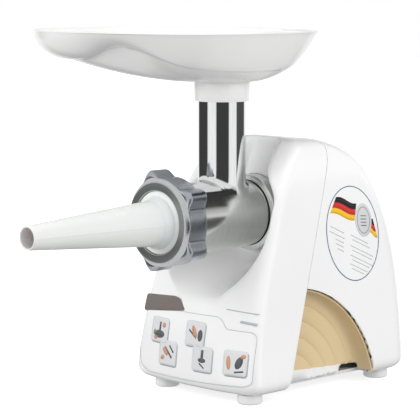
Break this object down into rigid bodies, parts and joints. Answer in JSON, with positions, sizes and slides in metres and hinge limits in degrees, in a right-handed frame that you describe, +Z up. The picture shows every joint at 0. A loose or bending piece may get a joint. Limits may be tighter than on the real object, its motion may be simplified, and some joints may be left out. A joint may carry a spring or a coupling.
{
  "type": "electric meat grinder",
  "caption": "Electric meat grinder with a feed tray, screw barrel, ring nut and sausage filling tube, driven through a gear train by a motor in a leaning white housing.",
  "frame": {"origin": "on the table, below the middle of the whole outline", "axes": "+Z up; the filling tube points along -Y, so the front is -Y; the tray reaches furthest toward -X"},
  "size_m": [0.2734, 0.406, 0.329],
  "materials": {
    "white_plastic": "glossy moulded white",
    "tray_plastic": "satin white",
    "beige_plastic": "fine matte beige",
    "grey_plastic": "matte grey",
    "dark_plastic": "matte near-black",
    "foot_rubber": "soft pale rubber",
    "seal_rubber": "soft black rubber",
    "chrome": "polished cast aluminium",
    "nut_metal": "polished cast aluminium",
    "steel": "machined steel",
    "aluminium": "as cast",
    "copper": "lacquered copper",
    "bronze": "sintered bronze",
    "gear_plastic": "unfilled nylon",
    "carbon": "carbon"
  },
  "bodies": {
    "housing": {"front_shell": "white_plastic", "rear_shell": "white_plastic", "arch_panel_right": "beige_plastic", "arch_panel_left": "beige_plastic", "base_plate": "grey_plastic", "control_bezel": "grey_plastic", "power_switch": "dark_plastic", "reverse_switch": "dark_plastic", "cord_inlet_bush": "dark_plastic", "foot_front_left": "foot_rubber", "foot_front_right": "foot_rubber", "foot_rear_left": "foot_rubber", "foot_rear_right": "foot_rubber", "foot_screw_front_left": "steel", "foot_screw_front_right": "steel", "foot_screw_rear_left": "steel", "foot_screw_rear_right": "steel", "latch_spring": "steel", "stator_core": "steel", "motor_bearing_front": "steel", "motor_bearing_rear": "steel", "head_socket": "aluminium", "gearbox_front_plate": "aluminium", "gearbox_rear_plate": "aluminium", "motor_bracket_front": "aluminium", "motor_bracket_rear": "aluminium", "field_coil_upper": "copper", "field_coil_lower": "copper", "spindle_bush_front": "bronze", "spindle_bush_rear": "bronze", "brush_holder_left": "bronze", "brush_holder_right": "bronze", "carbon_brush_left": "carbon", "carbon_brush_right": "carbon"},
    "latch": {"latch_plate": "steel", "release_button": "grey_plastic"},
    "rocker": {"power_rocker": "dark_plastic"},
    "reverse": {"reverse_button": "dark_plastic"},
    "rotor": {"motor_shaft": "steel", "armature_core": "steel", "armature_winding_front": "copper", "armature_winding_rear": "copper", "commutator": "copper", "cooling_fan": "dark_plastic"},
    "first_shaft": {"first_layshaft": "steel", "first_gear": "gear_plastic"},
    "second_shaft": {"second_layshaft": "steel", "second_gear": "gear_plastic"},
    "spindle": {"drive_spindle": "steel", "output_gear": "gear_plastic"},
    "seal": {"head_seal": "seal_rubber"},
    "head": {"grinder_chamber": "chrome", "mincing_plate": "steel"},
    "auger": {"auger": "aluminium", "auger_drive_shank": "steel", "knife_blade": "steel"},
    "filling_tube": {"sausage_tube": "white_plastic"},
    "nut": {"ring_nut": "nut_metal"},
    "tray": {"tray": "tray_plastic"}
  },
  "joints": [
    {"name": "rotor_spin", "type": "hinge", "parent": "housing", "child": "rotor", "pos_m": [0.06091, 0.153, 0.06879], "axis": [0, 1, 0], "continuous": true},
    {"name": "first_layshaft_spin", "type": "hinge", "parent": "housing", "child": "first_shaft", "pos_m": [0.0689, 0.113, 0.09667], "axis": [0, 1, 0], "continuous": true},
    {"name": "second_layshaft_spin", "type": "hinge", "parent": "housing", "child": "second_shaft", "pos_m": [0.04089, 0.103, 0.11968], "axis": [0, 1, 0], "continuous": true},
    {"name": "spindle_spin", "type": "hinge", "parent": "housing", "child": "spindle", "pos_m": [0.06086, 0.093, 0.1625], "axis": [0, 1, 0], "continuous": true},
    {"name": "head_pull", "type": "slide", "parent": "housing", "child": "seal", "axis": [0, -1, 0], "range_m": [0, 0.07]},
    {"name": "head_turn", "type": "hinge", "parent": "seal", "child": "head", "pos_m": [0.06086, 0.023, 0.1625], "axis": [0, 1, 0], "range_deg": [0, 35]},
    {"name": "auger_spin", "type": "hinge", "parent": "head", "child": "auger", "pos_m": [0.06086, 0.003, 0.1625], "axis": [0, 1, 0], "continuous": true},
    {"name": "tube_travel", "type": "slide", "parent": "head", "child": "filling_tube", "axis": [0, -1, 0], "range_m": [0, 0.0125]},
    {"name": "nut_turn", "type": "hinge", "parent": "filling_tube", "child": "nut", "pos_m": [0.06086, -0.045, 0.1625], "axis": [0, -1, 0], "range_deg": [0, 1080]},
    {"name": "tray_lift", "type": "slide", "parent": "head", "child": "tray", "axis": [0, 0, 1], "range_m": [0, 0.08]},
    {"name": "latch_press", "type": "slide", "parent": "housing", "child": "latch", "axis": [1, 0, 0], "range_m": [0, 0.004], "stiffness_N_per_m": 600, "springref_m": -0.002},
    {"name": "rocker_tilt", "type": "hinge", "parent": "housing", "child": "rocker", "pos_m": [-0.00183, 0.145, 0.15378], "axis": [0, 1, 0], "range_deg": [-14, 0]},
    {"name": "reverse_press", "type": "slide", "parent": "housing", "child": "reverse", "axis": [0.9964, 0, -0.0847], "range_m": [0, 0.0025], "stiffness_N_per_m": 400, "springref_m": -0.002}
  ],
  "couplings": [
    {"joint": "first_layshaft_spin", "follows": "rotor_spin", "ratio": -0.20833},
    {"joint": "second_layshaft_spin", "follows": "rotor_spin", "ratio": 0.054348},
    {"joint": "spindle_spin", "follows": "rotor_spin", "ratio": -0.01413},
    {"joint": "auger_spin", "follows": "rotor_spin", "ratio": -0.01413},
    {"joint": "tube_travel", "follows": "nut_turn", "m_per_rad": 0.00063662}
  ]
}
